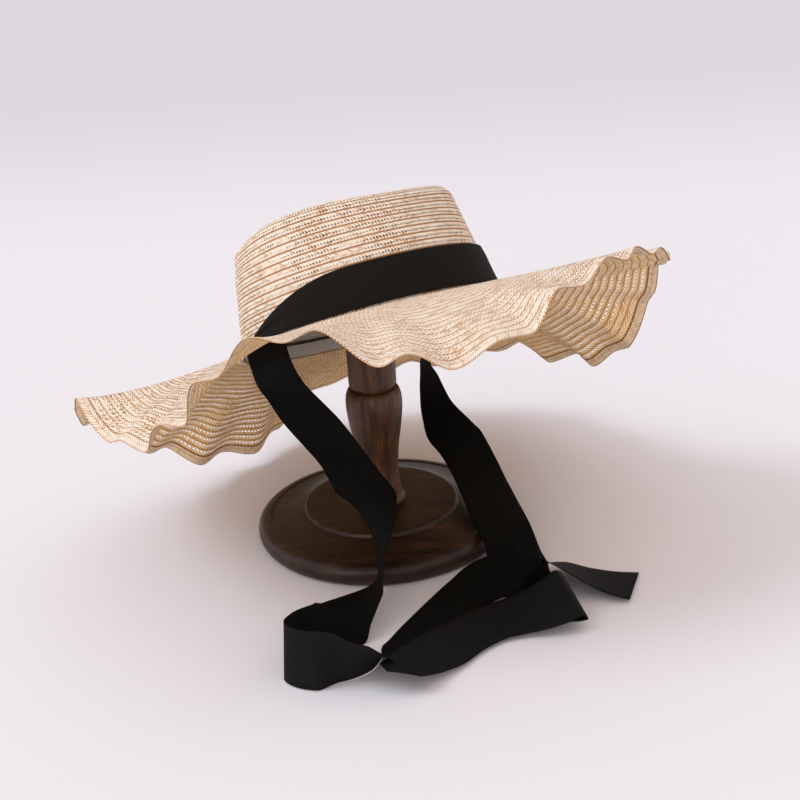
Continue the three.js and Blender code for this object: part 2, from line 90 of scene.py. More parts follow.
def new_finish(name, **sockets):
    """A material with one principled shader: its tree and that shader."""
    made = bpy.data.materials.new(name)
    made.use_nodes = True
    shader = made.node_tree.nodes["Principled BSDF"]
    for key, value in sockets.items():
        shader.inputs[key.replace("_", " ")].default_value = value
    return made, made.node_tree, shader


bpy.context.scene.view_settings.view_transform = "Standard"
floor_span = 14
fade_start = 0.55
fade_end = 1.25
# The floor's colour is painted darker towards the back: painted shade where the light falls off.
floor_near = (0.83, 0.80, 0.84, 1)
floor_far_shade = (0.69, 0.66, 0.70, 1)
bpy.ops.object.select_all(action="DESELECT")
bpy.ops.mesh.primitive_plane_add(size=floor_span)
floor = bpy.context.object
floor.name = "floor"
floor_finish, floor_tree, floor_shader = new_finish("pale_floor", Roughness=0.8)
floor_shader.inputs["Specular IOR Level"].default_value = 0.1
floor_place = wire(floor_tree, "ShaderNodeTexCoord").outputs["Object"]
floor_depth = wire(floor_tree, "ShaderNodeSeparateXYZ", {"Vector": floor_place}).outputs["Y"]
floor_shade_fade = wire(
    floor_tree,
    "ShaderNodeMapRange",
    {"Value": floor_depth, "From Min": fade_start, "From Max": fade_end},
    interpolation_type="SMOOTHSTEP",
).outputs[0]
floor_tone = blend(floor_tree, floor_shade_fade, floor_near, floor_far_shade)
floor_tree.links.new(floor_tone, floor_shader.inputs["Base Color"])
floor.data.materials.append(floor_finish)

bpy.ops.object.light_add(type="SUN", location=(-0.6, -1, 2))
key_light = bpy.context.object
key_heading = Vector((0.8, 0.06, -1))
key_light.rotation_euler = key_heading.to_track_quat("-Z", "Y").to_euler()
key_light.data.energy = 1.0
key_light.data.color = (0.75, 0.88, 1)
key_light.data.angle = math.radians(28)
bpy.ops.object.light_add(type="AREA", location=(-0.9, -1.9, 0.42))
front_light = bpy.context.object
front_heading = Vector((0.9, 1.9, -0.2))
front_light.rotation_euler = front_heading.to_track_quat("-Z", "Y").to_euler()
front_light.data.shape = "RECTANGLE"
front_light.data.size = 1.6
front_light.data.size_y = 0.8
front_light.data.energy = 9
front_light.data.color = (1, 0.9, 0.82)
glow = bpy.data.worlds.new("studio_glow")
glow.use_nodes = True
glow_shader = glow.node_tree.nodes["Background"]
glow_shader.inputs["Color"].default_value = (0.985, 0.925, 0.9, 1)
glow_shader.inputs["Strength"].default_value = 0.87
bpy.context.scene.world = glow


# Stand base. A round foot of dark stained walnut, turned on a lathe: a rounded rim, a shallow
# cove and a raised flat plateau with a fine rounded edge. It was varnished and rubbed to satin.
walnut_dark = (0.028, 0.0112, 0.0052)
walnut_middle = (0.083, 0.033, 0.013)
walnut_light = (0.17, 0.069, 0.027)


def roughen(tree, shader, height, strength, distance):
    """Fine relief on a finish, up to distance in metres, from its pattern's height."""
    sockets = {"Height": height, "Strength": strength, "Distance": distance}
    relief = wire(tree, "ShaderNodeBump", sockets)
    tree.links.new(relief.outputs[0], shader.inputs["Normal"])


def walnut(name, grain, light=1.0):
    """Stained walnut. grain is how fast it changes along X, Y and Z, per metre, and light how
    bright its stain is."""
    made, tree, shader = new_finish(name, Roughness=0.42)
    shader.inputs["Specular IOR Level"].default_value = 0.32
    place = wire(tree, "ShaderNodeTexCoord").outputs["Object"]
    along = wire(tree, "ShaderNodeMapping", {"Vector": place, "Scale": grain}).outputs[0]
    figure = wire(
        tree,
        "ShaderNodeTexNoise",
        {"Vector": along, "Scale": 1, "Detail": 7, "Roughness": 0.62, "Distortion": 0.5},
    ).outputs["Fac"]
    pores = wire(
        tree,
        "ShaderNodeTexNoise",
        {"Vector": along, "Scale": 7, "Detail": 3, "Roughness": 0.7},
    ).outputs["Fac"]
    tones = wire(tree, "ShaderNodeValToRGB", {"Fac": figure})
    stops = tones.color_ramp.elements
    stops[0].position = 0.32
    stops[0].color = [channel * light for channel in walnut_dark] + [1]
    stops[1].position = 0.7
    stops[1].color = [channel * light for channel in walnut_light] + [1]
    middle = stops.new(0.5)
    middle.color = [channel * light for channel in walnut_middle] + [1]
    pore_tone = wire(
        tree,
        "ShaderNodeMapRange",
        {"Value": pores, "From Min": 0.36, "From Max": 0.5, "To Min": 0.45, "To Max": 1},
    ).outputs[0]
    stained = blend(tree, 1.0, tones.outputs["Color"], pore_tone, blend_type="MULTIPLY")
    tree.links.new(stained, shader.inputs["Base Color"])
    worn = wire(tree, "ShaderNodeTexNoise", {"Vector": place, "Scale": 45, "Detail": 4})
    gloss = wire(
        tree,
        "ShaderNodeMapRange",
        {"Value": worn.outputs["Fac"], "To Min": 0.33, "To Max": 0.52},
    ).outputs[0]
    tree.links.new(gloss, shader.inputs["Roughness"])
    roughen(tree, shader, pores, strength=0.25, distance=0.0004)
    shader.inputs["Coat Weight"].default_value = 0.08
    shader.inputs["Coat Roughness"].default_value = 0.3
    return made


def turned_piece(name, rings, finish):
    """A piece turned about the Z axis. rings are (radius, height) in millimetres, from the
    middle of its foot out, up and in to the middle of its top."""
    bpy.ops.object.select_all(action="DESELECT")
    first_radius, first_height = rings[0]
    bpy.ops.mesh.primitive_circle_add(
        vertices=64,
        radius=first_radius / 1000,
        fill_type="NGON",
        location=(0, 0, first_height / 1000),
    )
    piece = bpy.context.object
    piece.name = name
    piece.data.name = name
    bpy.ops.object.mode_set(mode="EDIT")
    bpy.ops.mesh.select_all(action="SELECT")
    for below, above in zip(rings, rings[1:]):
        rise = (above[1] - below[1]) / 1000
        share = above[0] / below[0]
        bpy.ops.mesh.extrude_region_move(TRANSFORM_OT_translate={"value": (0, 0, rise)})
        bpy.ops.transform.resize(
            value=(share, share, 1), center_override=(0, 0, above[1] / 1000)
        )
    bpy.ops.mesh.select_all(action="SELECT")
    bpy.ops.mesh.normals_make_consistent(inside=False)
    bpy.ops.object.mode_set(mode="OBJECT")
    bpy.ops.object.transform_apply(location=True, rotation=True, scale=True)
    soften = piece.modifiers.new("soften", "SUBSURF")
    soften.levels = 2
    soften.render_levels = 2
    bpy.ops.object.modifier_apply(modifier=soften.name)
    bpy.ops.object.shade_smooth()
    piece.data.materials.append(finish)
    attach(piece, "root")
    return piece


base_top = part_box("stand_base")[1] * 1000
base_radius = base_top.x
plateau_radius = 53.5
plateau_middle = 20
rim_height = 16
base_rings = [
    (base_radius - 8, 0),
    (base_radius - 5, 0.1),
    (base_radius - 2.4, 1.6),
    (base_radius - 0.7, 4.4),
    (base_radius, 7.5),
    (base_radius - 0.3, 10.8),
    (base_radius - 1.8, 13.8),
    (base_radius - 4.6, rim_height - 0.5),
    (base_radius - 8, rim_height + 0.2),
    (base_radius - 9.5, rim_height + 0.2),
    (base_radius - 10.2, rim_height - 0.3),
    (base_radius - 11.2, rim_height - 0.2),
    (plateau_radius + 19, rim_height + 0.6),
    (plateau_radius + 13, rim_height + 1.6),
    (plateau_radius + 8, rim_height + 3),
    (plateau_radius + 4.4, rim_height + 4.4),
    (plateau_radius + 2, rim_height + 4.9),
    (plateau_radius + 1.2, rim_height + 5.2),
    (plateau_radius + 1.1, base_top.z - 1.4),
    (plateau_radius + 0.6, base_top.z - 0.4),
    (plateau_radius - 0.8, base_top.z),
    (plateau_radius - 3, base_top.z),
    (plateau_middle, base_top.z),
]
base_walnut = walnut("walnut_base", (14, 150, 150), 0.3)
turned_base = turned_piece("turned_base", base_rings, base_walnut)
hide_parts("stand_base")

# Stand stem. One turned vase of the same walnut, with its grain upright: a thin collar on the
# base, a narrow waist, and a long swell that ends in a rounded shoulder.
stem_low, stem_high = (corner * 1000 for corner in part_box("stand_stem"))
stem_foot = stem_low.z
stem_tall = stem_high.z - stem_low.z
stem_bulge = stem_high.x
stem_waist = 14
stem_collar = 18
stem_swell = stem_bulge - stem_waist
stem_rings = [
    (stem_collar - 0.6, stem_foot),
    (stem_collar, stem_foot + 0.5),
    (stem_collar, stem_foot + 2.6),
    (stem_collar - 0.7, stem_foot + 3.7),
    (stem_waist + 2.6, stem_foot + 4.6),
    (stem_waist + 1.7, stem_foot + 6.4),
    (stem_waist + 0.8, stem_foot + stem_tall * 0.14),
    (stem_waist + 0.1, stem_foot + stem_tall * 0.22),
    (stem_waist, stem_foot + stem_tall * 0.3),
    (stem_waist + stem_swell * 0.09, stem_foot + stem_tall * 0.39),
    (stem_waist + stem_swell * 0.26, stem_foot + stem_tall * 0.49),
    (stem_waist + stem_swell * 0.48, stem_foot + stem_tall * 0.58),
    (stem_waist + stem_swell * 0.7, stem_foot + stem_tall * 0.67),
    (stem_waist + stem_swell * 0.9, stem_foot + stem_tall * 0.76),
    (stem_bulge, stem_foot + stem_tall * 0.85),
    (stem_bulge - 0.2, stem_foot + stem_tall * 0.91),
    (stem_bulge - 0.9, stem_foot + stem_tall * 0.955),
    (stem_bulge - 2.2, stem_foot + stem_tall * 0.985),
    (stem_bulge - 3.4, stem_foot + stem_tall),
    (stem_bulge - 6, stem_foot + stem_tall),
]
upright_walnut = walnut("walnut_upright", (210, 210, 17))
turned_stem = turned_piece("turned_stem", stem_rings, upright_walnut)
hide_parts("stand_stem")

# Stand post. A plain round rod of the same walnut, pegged into the stem, with a fine groove
# cut where the two meet.
post_low, post_high = (corner * 1000 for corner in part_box("stand_post"))
post_radius = post_high.x
post_rings = [
    (post_radius - 2, post_low.z),
    (post_radius - 1.1, post_low.z + 0.2),
    (post_radius - 1, post_low.z + 1.2),
    (post_radius - 0.5, post_low.z + 1.8),
    (post_radius - 0.05, post_low.z + 2.4),
    (post_radius, post_low.z + 4),
    (post_radius, post_low.z + 30),
    (post_radius, post_low.z + 60),
    (post_radius, post_high.z - 2),
    (post_radius - 0.4, post_high.z - 0.3),
    (post_radius - 3, post_high.z),
]
turned_post = turned_piece("turned_post", post_rings, upright_walnut)
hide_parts("stand_post")

# Stand head. A low turned dome of the same walnut on the top of the post. The inside of the
# crown rests on it.
head_low, head_high = (corner * 1000 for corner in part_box("stand_head"))
head_radius = head_high.x
dome_radius = 45
dome_centre = head_high.z - dome_radius
dome_rings = 7
dome_clearance = 0.15
head_rings = [
    (head_radius - 7, head_low.z),
    (head_radius - 4.4, head_low.z + 0.4),
    (head_radius - 1.4, head_low.z + 3.6),
    (head_radius - 0.1, head_low.z + 7.6),
    (head_radius, head_low.z + 10),
]
widest = math.asin(head_radius / dome_radius)
for ring in range(dome_rings):
    from_top = widest * (1 - ring / dome_rings)
    head_rings.append(
        (
            dome_radius * math.sin(from_top) - dome_clearance,
            dome_centre + dome_radius * math.cos(from_top),
        )
    )
turned_head = turned_piece("turned_head", head_rings, upright_walnut)
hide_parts("stand_head")

# Crown. One long braid of paper straw, sewn round and round from the middle of the top: each
# row laps the one before, so a brown shadow line shows between rows and pin-holes in them.
lean_left = 13.2
lean_back = 27.57
seat_side = 8
seat_front = 26.5
crown_radius = 92.5
crown_oval = 1.06
crown_height = 80
crown_taper = 0.18
crown_shoulder = 12
straw_wall = 2
seam = 0.3
leaned = Matrix.Rotation(math.radians(-lean_left), 3, "Y") @ Matrix.Rotation(
    math.radians(-lean_back), 3, "X"
)
seat = Vector((seat_side, -seat_front, crown_height - straw_wall - seam - dome_radius))
hat_place = Vector((0, 0, dome_centre)) - leaned @ seat
hat_turn = np.array(leaned)
hat_origin = np.array(hat_place)


def from_hat(points):
    """Points of the hat's own frame, in millimetres, as points of the scene, in metres."""
    return (points @ hat_turn.T + hat_origin) / 1000


def straw_finish(name, pale, tan, line, dashed, holes, painted, hole_tone, through):
    """Paper straw braid. The map counts strands along a row and rows across them. dashed is how far
    the painted shade line between rows breaks up, holes the pin-holes' size, painted how much of
    each is painted with hole_tone as shade, and through opens them at the hat's left and right."""
    made, tree, shader = new_finish(name, Roughness=0.75)
    shader.inputs["Specular IOR Level"].default_value = 0.2
    braid_map = wire(tree, "ShaderNodeUVMap", uv_map="braid").outputs["UV"]
    counted = wire(tree, "ShaderNodeSeparateXYZ", {"Vector": braid_map})
    strand, row = counted.outputs["X"], counted.outputs["Y"]

    # Strands lean out from the row's middle, and those of one half start between the other's
    strand_lean = 1.4
    in_row = reckon(tree, "FRACT", row)
    off_middle = reckon(tree, "ABSOLUTE", reckon(tree, "SUBTRACT", in_row, 0.5))
    side = reckon(tree, "MULTIPLY", off_middle, 2.0)
    half = reckon(tree, "GREATER_THAN", in_row, 0.5)
    lean = reckon(tree, "MULTIPLY_ADD", side, strand_lean, strand)
    lean = reckon(tree, "MULTIPLY_ADD", half, 0.5, lean)
    over = reckon(tree, "FRACT", lean)
    crest = reckon(tree, "MULTIPLY", over, reckon(tree, "MULTIPLY_ADD", over, -4.0, 4.0))

    # Each strand has its own tone, and some stretches of braid are tanner than others. The edges of
    # each strand are also painted tan, as shade in the grooves between strands.
    groove_painted_shade, groove_sharp, chance_tan, blotch_tan, tan_floor = 1.7, 1.6, 0.75, 0.3, 0.45
    strand_name = wire(
        tree,
        "ShaderNodeCombineXYZ",
        {
            "X": reckon(tree, "FLOOR", lean),
            "Y": reckon(tree, "FLOOR", reckon(tree, "MULTIPLY", row, 2.0)),
        },
    ).outputs[0]
    chance = wire(tree, "ShaderNodeTexWhiteNoise", {"Vector": strand_name}).outputs["Value"]
    place = wire(tree, "ShaderNodeTexCoord").outputs["Object"]
    blotch = wire(
        tree, "ShaderNodeTexNoise", {"Vector": place, "Scale": 38, "Detail": 4}
    ).outputs["Fac"]
    groove = reckon(tree, "POWER", reckon(tree, "SUBTRACT", 1.0, crest), groove_sharp)
    toned = reckon(tree, "MULTIPLY", groove, groove_painted_shade)
    chanced = reckon(tree, "POWER", chance, 2.0)
    toned = reckon(tree, "MULTIPLY_ADD", chanced, chance_tan, toned)
    toned = reckon(tree, "MULTIPLY_ADD", blotch, blotch_tan, toned)
    toned = reckon(tree, "SUBTRACT", toned, tan_floor)
    body = blend(tree, toned, pale, tan)

    # A brown line runs between the rows, broken into dashes where strands cross it: painted shade
    # in the gap where one row laps the next.
    gap = wire(
        tree,
        "ShaderNodeMapRange",
        {"Value": side, "From Min": 0.72, "From Max": 0.86},
        interpolation_type="SMOOTHSTEP",
    ).outputs[0]
    dash = reckon(tree, "SINE", reckon(tree, "MULTIPLY", strand, 2 * math.pi))
    dash = reckon(tree, "MULTIPLY_ADD", dash, dashed / 2, 1 - dashed / 2)
    gap_line = reckon(tree, "MULTIPLY", gap, dash)
    gap_sink = -1.3
    lined = blend(tree, gap_line, body, line)

    # One slanted pin-hole shows between every two strands, where the sewing pulls them apart
    hole_slant, hole_length, hole_height, hole_middle = 0.9, 0.31, 0.17, 0.45
    hole_least, hole_varies = 0.5, 0.9
    patch = wire(
        tree,
        "ShaderNodeTexNoise",
        {"Vector": place, "Scale": 22, "Detail": 3, "Roughness": 0.6},
    ).outputs["Fac"]
    patchy = wire(
        tree,
        "ShaderNodeMapRange",
        {"Value": patch, "From Min": 0.34, "From Max": 0.52},
        interpolation_type="SMOOTHSTEP",
    ).outputs[0]
    slanted = reckon(tree, "FRACT", reckon(tree, "MULTIPLY_ADD", in_row, hole_slant, strand))
    hole_long = reckon(tree, "SUBTRACT", slanted, 0.5)
    hole_long = reckon(tree, "DIVIDE", hole_long, hole_length)
    hole_tall = reckon(tree, "SUBTRACT", in_row, hole_middle)
    hole_tall = reckon(tree, "DIVIDE", hole_tall, hole_height)
    hole_tall = reckon(tree, "MULTIPLY", hole_tall, hole_tall)
    from_hole = reckon(tree, "MULTIPLY_ADD", hole_long, hole_long, hole_tall)
    hole_size = reckon(tree, "MULTIPLY_ADD", chance, hole_varies, hole_least)
    hole_size = reckon(tree, "MULTIPLY", hole_size, patchy)
    hole_size = reckon(tree, "MULTIPLY", hole_size, holes)
    # The pin-holes are painted in hole_tone: painted shade seen through them.
    hole = reckon(tree, "LESS_THAN", from_hole, reckon(tree, "MULTIPLY", hole_size, painted))
    tree.links.new(blend(tree, hole, lined, hole_tone), shader.inputs["Base Color"])
    height = reckon(tree, "MULTIPLY_ADD", gap, gap_sink, crest)
    roughen(tree, shader, height, strength=0.6, distance=0.0004)
    if through:
        hat_middle, holes_start, holes_full = 0.015, 0.075, 0.11
        spread = wire(tree, "ShaderNodeSeparateXYZ", {"Vector": place}).outputs["X"]
        spread = reckon(tree, "ABSOLUTE", reckon(tree, "SUBTRACT", spread, hat_middle))
        at_sides = wire(
            tree,
            "ShaderNodeMapRange",
            {"Value": spread, "From Min": holes_start, "From Max": holes_full},
        ).outputs[0]
        side_size = reckon(tree, "MULTIPLY", hole_size, at_sides)
        gaping = reckon(tree, "LESS_THAN", from_hole, side_size)
        tree.links.new(reckon(tree, "SUBTRACT", 1.0, gaping), shader.inputs["Alpha"])
    return made


def soft_piece(name, points, faces, slots, uvs, map_name, finishes, weld=0):
    """A piece of straw or cloth from its faces and their places on its map. Points that are
    closer than weld, in metres, become one."""
    mesh = bpy.data.meshes.new(name)
    mesh.from_pydata(points.tolist(), [], faces)
    layer = mesh.uv_layers.new(name=map_name)
    layer.data.foreach_set("uv", np.array(uvs, np.float32).ravel())
    mesh.polygons.foreach_set("material_index", slots)
    for finish in finishes:
        mesh.materials.append(finish)
    shaped = bmesh.new()
    shaped.from_mesh(mesh)
    if weld:
        bmesh.ops.remove_doubles(shaped, verts=shaped.verts, dist=weld)
    bmesh.ops.recalc_face_normals(shaped, faces=shaped.faces)
    shaped.to_mesh(mesh)
    shaped.free()
    mesh.polygons.foreach_set("use_smooth", [True] * len(mesh.polygons))
    piece = bpy.data.objects.new(name, mesh)
    bpy.context.scene.collection.objects.link(piece)
    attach(piece, "root")
    return piece


def sewn_shell(name, surface, rows, shares, under_shares, around, relief, strand, facing, finishes):
    """A closed wall of sewn rows. surface(angles, places) gives the middle of the wall in the
    hat's frame, places counting rows. shares and under_shares are where a row's rings lie on
    its two faces, relief is (groove depth, lap, wall) and strand a strand's length, all in
    millimetres, and facing is 1 where the surface's normal points out of the hat, else -1."""
    angles = np.arange(around) * 2 * math.pi / around
    tiny = 1e-6

    def skin_points(row_shares, outward):
        counts = [k + share for k in range(rows) for share in row_shares] + [rows]
        places = np.array(counts, float)
        middle = surface(angles, places)
        along = np.roll(middle, -1, axis=1) - np.roll(middle, 1, axis=1)
        across = np.gradient(middle, axis=0)
        normal = np.cross(along, across)
        length = np.linalg.norm(normal, axis=2, keepdims=True)
        normal = normal / np.maximum(length, tiny)
        if length[-1].min() < tiny:
            normal[-1] = normal[-2]
        in_row = places - np.floor(places)
        depth, lap, wall = relief
        grooved = np.where((in_row < tiny) | (places >= rows), -depth, 0)
        lapped = lap * (in_row - 0.5) * (grooved == 0)
        offset = outward * (wall / 2 + np.minimum(grooved + lapped, lap / 2))
        return middle + normal * offset[:, None, None], places

    top, top_places = skin_points(shares, facing)
    under, under_places = skin_points(under_shares, -facing)
    points = from_hat(np.concatenate([top.reshape(-1, 3), under.reshape(-1, 3)]))
    base = len(top_places) * around
    faces, uvs, slots = [], [], []
    strands = []
    for k in range(rows):
        ring = surface(angles, np.array([k + 0.5]))[0]
        run = np.linalg.norm(np.roll(ring, -1, axis=0) - ring, axis=1).sum()
        strands.append(max(round(run / strand), 3) / around)

    def ring_faces(start, places, flipped, slot_number):
        for j in range(len(places) - 1):
            step = strands[min(int(places[j] + tiny), rows - 1)]
            low = start + j * around
            high = low + around
            v_low, v_high = places[j], places[j + 1]
            for i in range(around):
                k = (i + 1) % around
                corners = [low + i, low + k, high + k, high + i]
                spots = [
                    (i * step, v_low),
                    ((i + 1) * step, v_low),
                    ((i + 1) * step, v_high),
                    (i * step, v_high),
                ]
                if flipped:
                    corners.reverse()
                    spots.reverse()
                faces.append(corners)
                uvs.extend(spots)
                slots.append(slot_number)

    ring_faces(0, top_places, False, 0)
    ring_faces(base, under_places, True, len(finishes) - 1)
    ends = [(0, base, 0.0, True)]
    last_top = (len(top_places) - 1) * around
    last_under = base + (len(under_places) - 1) * around
    ends.append((last_top, last_under, float(rows), False))
    for near, far, place, flipped in ends:
        step = strands[min(int(place), rows - 1)]
        for i in range(around):
            k = (i + 1) % around
            corners = [near + i, near + k, far + k, far + i]
            spots = [(i * step, place), ((i + 1) * step, place)]
            spots = spots + spots[::-1]
            if flipped:
                corners.reverse()
                spots.reverse()
            faces.append(corners)
            uvs.extend(spots)
            slots.append(0)
    return soft_piece(name, points, faces, slots, uvs, "braid", finishes, tiny)


crown_rows = 28
half_wall = straw_wall / 2
wall_top = crown_height - crown_shoulder
top_radius = crown_radius - crown_taper * wall_top
crown_profile = [
    (crown_radius + crown_taper - half_wall, -half_wall),
    (top_radius - half_wall, wall_top),
]
shoulder_steps = 10
for step in range(1, shoulder_steps + 1):
    bend = step / shoulder_steps * math.pi / 2
    crown_profile.append(
        (
            top_radius - crown_shoulder + (crown_shoulder - half_wall) * math.cos(bend),
            wall_top + (crown_shoulder - half_wall) * math.sin(bend),
        )
    )
crown_profile.append((0, crown_height - half_wall))
profile_radius, profile_height = np.array(crown_profile, float).T
profile_run = np.concatenate(
    [[0], np.cumsum(np.hypot(np.diff(profile_radius), np.diff(profile_height)))]
)
row_wander = 0.25
slack_height = 50
slack_radius = 30
slack_blend = 30
crown_slack = [
    # angle, half of its span, drop
    (-52, 55, 3.2),
    (-160, 44, 5),
]


def crown_surface(angles, places):
    """The middle of the crown's straw. Its rim sags a little where the straw is slack."""
    run = places / crown_rows * profile_run[-1]
    radius = np.interp(run, profile_run, profile_radius)[:, None]
    height = np.interp(run, profile_run, profile_height)[:, None]
    uneven = row_wander * np.sin(3 * angles + 1.1 * places[:, None] ** 0.5)
    radius = radius + uneven * np.minimum(radius / crown_radius, 1)
    slack = np.zeros_like(angles)
    for at, half_span, drop in crown_slack:
        away = np.abs(np.mod(np.degrees(angles) - at + 180, 360) - 180)
        slack = slack + drop * np.cos(np.minimum(away / half_span, 1) * math.pi / 2) ** 2
    near_rim = np.clip((height - slack_height) / slack_blend, 0, 1)
    near_rim = near_rim * np.clip((radius - slack_radius) / slack_blend, 0, 1)
    height = height - slack * near_rim
    x = radius * np.cos(angles)
    y = radius * np.sin(angles) * crown_oval
    return np.stack([x, y, height + 0 * x], axis=2)


straw_pale = (1, 0.9, 0.8, 1)
straw_tan = (0.56, 0.31, 0.14, 1)
# The line colours are painted shade in the gaps between rows.
straw_shade_line = (0.23, 0.075, 0.012, 1)
# The crown's pin-holes are painted dark: painted shade of the crown's inside seen through them.
hole_shade_dark = (0.09, 0.035, 0.01, 1)
crown_straw = straw_finish(
    "straw_crown",
    straw_pale,
    straw_tan,
    straw_shade_line,
    dashed=0.2,
    holes=0.65,
    painted=1,
    hole_tone=hole_shade_dark,
    through=False,
)
# The inside and underside of the straw get warmer, more orange copies of its colours: painted warm
# light shining through the straw and up from the floor.
under_glow_pale = (1, 0.75, 0.43, 1)
under_tan = (0.55, 0.30, 0.12, 1)
under_shade_line = (0.42, 0.17, 0.035, 1)
inside_straw = straw_finish(
    "straw_inside",
    under_glow_pale,
    under_tan,
    under_shade_line,
    dashed=0.2,
    holes=0.4,
    painted=1,
    hole_tone=hole_shade_dark,
    through=False,
)
straw_crown = sewn_shell(
    "straw_crown",
    crown_surface,
    rows=crown_rows,
    shares=(0, 0.14, 0.5, 0.86),
    under_shares=(0,),
    around=420,
    relief=(0.3, 0.3, 0.5),
    strand=2.3,
    facing=1,
    finishes=[crown_straw, inside_straw],
)
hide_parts("crown")

# Brim. The same braid goes on sewing outwards from the crown's foot in nineteen rows. It is
# pulled tight towards the edge, so that the brim waves in broad lobes with small folds in them.
brim_width = 118
brim_deepest = 62
edge_row = 8
lobe_spread = 22
brim_rows = 19
brim_folds = [
    # crest angle, crest drop, valley angle, valley drop
    (-167, 0.06, -162, 0.1),
    (-157, 0.02, -147.5, 0.62),
    (-143.5, 0.64, -138, 0.85),
    (-129, 0.66, -123.5, 0.75),
    (-116.5, 0.4, -112.5, 0.43),
    (-104.5, 0.16, -98, 0.31),
    (-94, 0.27, -84.5, 0.78),
    (-80.5, 0.73, -72, 0.98),
    (-62.5, 0.82, -57, 0.83),
    (-50.5, 0.46, -45.5, 0.48),
    (-37.5, 0.24, -32, 0.29),
    (-27.5, 0.16, -21, 0.24),
    (-14, 0.16, -5, 0.26),
    (3, 0.12, 9, 0.2),
    (14, 0.14, 20.5, 0.44),
    (22.5, 0.47, 30, 0.93),
    (36.5, 0.91, 43, 1),
    (51, 0.76, 57, 0.77),
    (65, 0.38, 69, 0.42),
    (77, 0.3, 84, 0.36),
    (90, 0.2, 96, 0.27),
    (102, 0.17, 108, 0.22),
    (114, 0.24, 119, 0.55),
    (122, 0.62, 130, 0.86),
    (137, 0.75, 145, 0.86),
    (152, 0.55, 158, 0.6),
    (165, 0.36, 171, 0.4),
    (179, 0.18, 186, 0.22),
]
fold_points = [pair for fold in brim_folds for pair in (fold[:2], fold[2:])]
fold_points.append((fold_points[0][0] + 360, fold_points[0][1]))
fold_at, fold_drop = np.array(fold_points, float).T
clear_of_crown = seam + straw_wall / 4
lobe_curve = 1.35
fold_curve = 3
ribbon_width = 40
ribbon_wall = 1
slit_clearance = 1.6
slit_fade = 6
sewn_in = 1.3
left_slit = -130
right_slit = 65


def edge_drop(angles):
    """How far the brim's edge lies under the crown's foot, at angles in radians."""
    turn = np.mod(np.degrees(angles) - fold_at[0], 360) + fold_at[0]
    cell = np.clip(np.searchsorted(fold_at, turn, side="right") - 1, 0, len(fold_at) - 2)
    share = (turn - fold_at[cell]) / (fold_at[cell + 1] - fold_at[cell])
    eased = (1 - np.cos(share * math.pi)) / 2
    return brim_deepest * (fold_drop[cell] + (fold_drop[cell + 1] - fold_drop[cell]) * eased)


def lobe_drop(angles):
    """The same with the small folds smoothed away."""
    samples = 12
    total, weights = 0, 0
    for sample in range(-samples, samples + 1):
        weight = 1 + math.cos(sample / (samples + 1) * math.pi)
        shift = math.radians(sample / samples * lobe_spread)
        total = total + weight * edge_drop(angles + shift)
        weights += weight
    return total / weights


def oval_radius(angles, height):
    """How far the crown's outside lies from its middle, at a height over its foot."""
    upright = crown_radius - crown_taper * height
    return upright / np.hypot(np.cos(angles), np.sin(angles) / crown_oval)


def slit_window(angles, slit):
    """1 along a slit of the brim, where the ribbon goes down beside the crown, else 0."""
    away = np.abs(np.mod(np.degrees(angles) - slit + 180, 360) - 180)
    half = math.degrees(ribbon_width / 2 / crown_radius) + 1
    return np.clip((half + 2 - away) / 2, 0, 1)


def brim_surface(angles, shares):
    """The middle of the brim's straw at shares of its width from the crown to the edge."""
    steps = 120
    grid = np.arange(steps + 1)[:, None] / steps
    lobe = lobe_drop(angles)
    fold = edge_drop(angles) - lobe
    low = -lobe * grid**lobe_curve - fold * grid**fold_curve
    fall = np.diff(low, axis=0)
    stride = brim_width / steps
    reach = np.sqrt(np.maximum(stride**2 - fall**2, (stride / 4) ** 2))
    slits = slit_window(angles, left_slit) + slit_window(angles, right_slit)
    start = oval_radius(angles, 0) + clear_of_crown
    opened = slits * (slit_clearance + ribbon_wall * 1.5) - (1 - slits) * sewn_in
    out = start + np.concatenate([np.zeros((1, len(angles))), np.cumsum(reach, axis=0)])
    out = out + opened * np.maximum(1 - grid * slit_fade, 0)
    place = np.clip(shares * steps, 0, steps)
    cell = np.minimum(place.astype(int), steps - 1)
    part = (place - cell)[:, None]
    out = out[cell] * (1 - part) + out[cell + 1] * part
    low = low[cell] * (1 - part) + low[cell + 1] * part
    return np.stack([out * np.cos(angles), out * np.sin(angles), low], axis=2)


brim_inside = (brim_width - edge_row) / brim_width


def brim_rows_surface(angles, places):
    """The brim inside its last row, places counting its rows."""
    return brim_surface(angles, places / brim_rows * brim_inside)


# This line colour is painted shade in the gaps between rows, and on the brim's top it paints the
# pin-holes too.
brim_shade_line = (0.5, 0.22, 0.055, 1)
brim_straw = straw_finish(
    "straw_brim",
    straw_pale,
    straw_tan,
    brim_shade_line,
    dashed=0.7,
    holes=1,
    painted=0.3,
    hole_tone=brim_shade_line,
    through=True,
)
under_straw = straw_finish(
    "straw_under",
    under_glow_pale,
    under_tan,
    under_shade_line,
    dashed=0.6,
    holes=1,
    painted=0.7,
    hole_tone=under_shade_line,
    through=True,
)
straw_brim = sewn_shell(
    "straw_brim",
    brim_rows_surface,
    rows=brim_rows,
    shares=(0, 0.2, 0.8),
    under_shares=(0, 0.2, 0.8),
    around=640,
    relief=(0.12, 0.16, 0.3),
    strand=2.9,
    facing=-1,
    finishes=[brim_straw, under_straw],
)
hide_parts("brim")

# Brim edge. The last row is a wider, denser braid that is sewn on double, so it is stiffer. It is
# painted a little darker as shade, dashed with brown along its rim, and greyer on its underside.
edge_rings = (0, 0.08, 0.3, 0.55, 0.8, 0.93)


def edge_surface(angles, places):
    """The brim's last row."""
    return brim_surface(angles, brim_inside + places * (1 - brim_inside))


